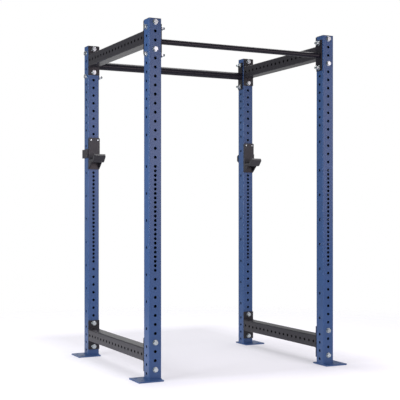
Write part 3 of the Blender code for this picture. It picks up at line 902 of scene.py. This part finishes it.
def add_uprights():
    left = upright_mesh(-1)
    right = upright_mesh(1)
    cap = cap_mesh()
    for corner in CORNERS:
        middle = centre_of("cap_" + corner)
        steel_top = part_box("upright_" + corner)[1].z
        add_piece("upright_" + corner, left if "left" in corner else right, (BLUE, INSIDE),
                  "cage", Vector((middle.x, middle.y, 0.0)))
        add_piece("cap_" + corner, cap, (CAP,), "cage",
                  Vector((middle.x, middle.y, steel_top + GAP)))


def add_members():
    low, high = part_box("crossmember_left_top")
    crossmember = crossmember_mesh(high.y - low.y, high.z - low.z)
    for side in ("left", "right"):
        for level in ("top", "bottom"):
            node = f"crossmember_{side}_{level}"
            add_piece(node, crossmember, (BLACK, INSIDE), "cage", centre_of(node))
    low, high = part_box("pullup_bar_thin")
    for node, radius in (("pullup_bar_thin", THIN_BAR_RADIUS), ("pullup_bar_fat", FAT_BAR_RADIUS)):
        bar = pullup_bar_mesh(high.x - low.x, high.y - low.y, high.z - low.z, radius)
        add_piece(node, bar, (BAR_BLACK,), "cage", centre_of(node))


def add_bolts():
    low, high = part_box("bolt_front_left_top_upper")
    mesh = bolt_mesh(high.y - low.y)
    for corner in CORNERS:
        outward = -1.0 if "left" in corner else 1.0
        for joint in ("top", "bottom", "bar"):
            for end in ("upper", "lower"):
                node = f"bolt_{corner}_{joint}_{end}"
                low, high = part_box(node)
                middle = (low + high) / 2.0
                if joint == "bar":
                    start = Vector((low.x if outward < 0 else high.x, middle.y, middle.z))
                    turn = Matrix.Rotation(-outward * math.pi / 2.0, 4, "Y")
                else:
                    start = Vector((middle.x, low.y, middle.z))
                    turn = Matrix.Rotation(-math.pi / 2.0, 4, "X")
                add_piece(node, mesh, (ZINC,), "cage", Matrix.Translation(start) @ turn)


def add_jcups():
    bracket = bracket_mesh()
    mirrored = copy_turned(bracket, Matrix.Diagonal((-1.0, 1.0, 1.0, 1.0)))
    back_liner = back_liner_mesh()
    saddle_liner = saddle_liner_mesh()
    screw = screw_mesh()
    pin = pin_mesh()
    for joint in frame["joints"]:
        body = joint["child"]
        origin = Vector(joint["pos_m"])
        sign = -1.0 if body.startswith("left") else 1.0
        shapes = (
            ("bracket", bracket if sign < 0.0 else mirrored, BLACK, "black_powder_coat"),
            ("back_liner", back_liner, PLASTIC, "black_plastic"),
            ("saddle_liner", saddle_liner, PLASTIC, "black_plastic"),
            ("pin", pin, ZINC, "zinc"),
        )
        for name, mesh, material, slot in shapes:
            add_piece(f"{body}_{name}", mesh, (material,), body, origin)
        for name, offset in (("outer", sign), ("inner", -sign)):
            add_piece(f"{body}_screw_{name}", screw, (ZINC,), body,
                      origin + Vector((offset * SCREW_SPREAD, 0.0, SCREW_Z)))


# Studio

def vector_math(nodes, links, operation, vector, other=None):
    node = nodes.new("ShaderNodeVectorMath")
    node.operation = operation
    links.new(vector, node.inputs[0])
    if other is not None:
        node.inputs[1].default_value = other
    return node.outputs["Vector"]


def length_of(nodes, links, vector):
    node = nodes.new("ShaderNodeVectorMath")
    node.operation = "LENGTH"
    links.new(vector, node.inputs[0])
    return node.outputs["Value"]


def add_floor():
    """A pale sheet that glows a little, as under a light tent, with a painted shadow under the cage where it
    glows less, and fades into the backdrop far away.
    """
    bm = bmesh.new()
    bmesh.ops.create_circle(bm, cap_ends=True, segments=FLOOR_SIDES, radius=FLOOR_RADIUS)
    mesh = bpy.data.meshes.new("studio_floor")
    bm.to_mesh(mesh)
    bm.free()
    material, nodes, links, shader = new_material("studio_floor")
    shader.inputs["Base Color"].default_value = FLOOR_COLOUR
    shader.inputs["Roughness"].default_value = 0.9
    shader.inputs["Specular IOR Level"].default_value = 0.1
    shader.inputs["Emission Color"].default_value = FLOOR_TINT
    place = nodes.new("ShaderNodeTexCoord").outputs["Object"]
    fade = spread(nodes, links, length_of(nodes, links, place), 1.0, 0.0, FLOOR_FADE, FLOOR_RADIUS)
    links.new(fade, shader.inputs["Alpha"])
    # Painted shadow: the floor glows less under the cage, so it looks shaded there, and the light it throws
    # up from below is weaker there too
    outside = vector_math(nodes, links, "SUBTRACT", place, PAINTED_SHADOW_CENTRE)
    outside = vector_math(nodes, links, "ABSOLUTE", outside)
    outside = vector_math(nodes, links, "SUBTRACT", outside, PAINTED_SHADOW_REACH)
    outside = vector_math(nodes, links, "MAXIMUM", outside, (0.0, 0.0, 0.0))
    glow = spread(nodes, links, length_of(nodes, links, outside), *FLOOR_GLOW_AND_PAINTED_SHADOW, 0.0, PAINTED_SHADOW_EDGE)
    links.new(glow, shader.inputs["Emission Strength"])
    mesh.materials.append(material)
    floor = bpy.data.objects.new("studio_floor", mesh)
    floor.location.z = -FLOOR_DROP
    bpy.context.scene.collection.objects.link(floor)


def add_light(name, position, target, size, watts, colour):
    data = bpy.data.lights.new(name, "AREA")
    data.shape = "RECTANGLE"
    data.size, data.size_y = size
    data.energy = watts
    data.color = colour
    light = bpy.data.objects.new(name, data)
    light.location = position
    light.rotation_euler = (Vector(target) - Vector(position)).to_track_quat("-Z", "Y").to_euler()
    light.visible_camera = False
    bpy.context.scene.collection.objects.link(light)


def add_backdrop():
    """A white surround. It lights the cage dimly from the front and more strongly from behind."""
    world = bpy.data.worlds.new("studio")
    world.use_nodes = True
    nodes, links = world.node_tree.nodes, world.node_tree.links
    background = nodes["Background"]
    background.inputs["Color"].default_value = (1.0, 1.0, 1.0, 1.0)
    facing = nodes.new("ShaderNodeVectorMath")
    facing.operation = "DOT_PRODUCT"
    facing.inputs[1].default_value = BACKDROP_DIRECTION
    links.new(nodes.new("ShaderNodeTexCoord").outputs["Generated"], facing.inputs[0])
    light = spread(nodes, links, facing.outputs["Value"], SURROUND_LIGHT, BACKDROP_LIGHT, *BACKDROP_EDGE)
    seen = nodes.new("ShaderNodeMix")
    seen.inputs["B"].default_value = 1.0
    links.new(light, seen.inputs["A"])
    links.new(nodes.new("ShaderNodeLightPath").outputs["Is Camera Ray"], seen.inputs["Factor"])
    links.new(seen.outputs["Result"], background.inputs["Strength"])
    bpy.context.scene.world = world


def add_camera():
    """Standing in front and to the left, level, with the focal length that gives the cage its perspective."""
    data = bpy.data.cameras.new("camera")
    data.sensor_width = CAMERA_SENSOR
    data.lens = CAMERA_LENS
    data.shift_y = CAMERA_SHIFT
    data.clip_end = 100.0
    camera = bpy.data.objects.new("camera", data)
    camera.location = CAMERA_PLACE
    camera.rotation_euler = (math.pi / 2.0, 0.0, math.radians(CAMERA_TURN))
    bpy.context.scene.collection.objects.link(camera)
    bpy.context.scene.camera = camera
    bpy.context.scene.view_settings.view_transform = "Standard"


add_uprights()
add_members()
add_bolts()
add_jcups()
add_floor()
add_backdrop()
for light in LIGHTS:
    add_light(*light)
add_camera()
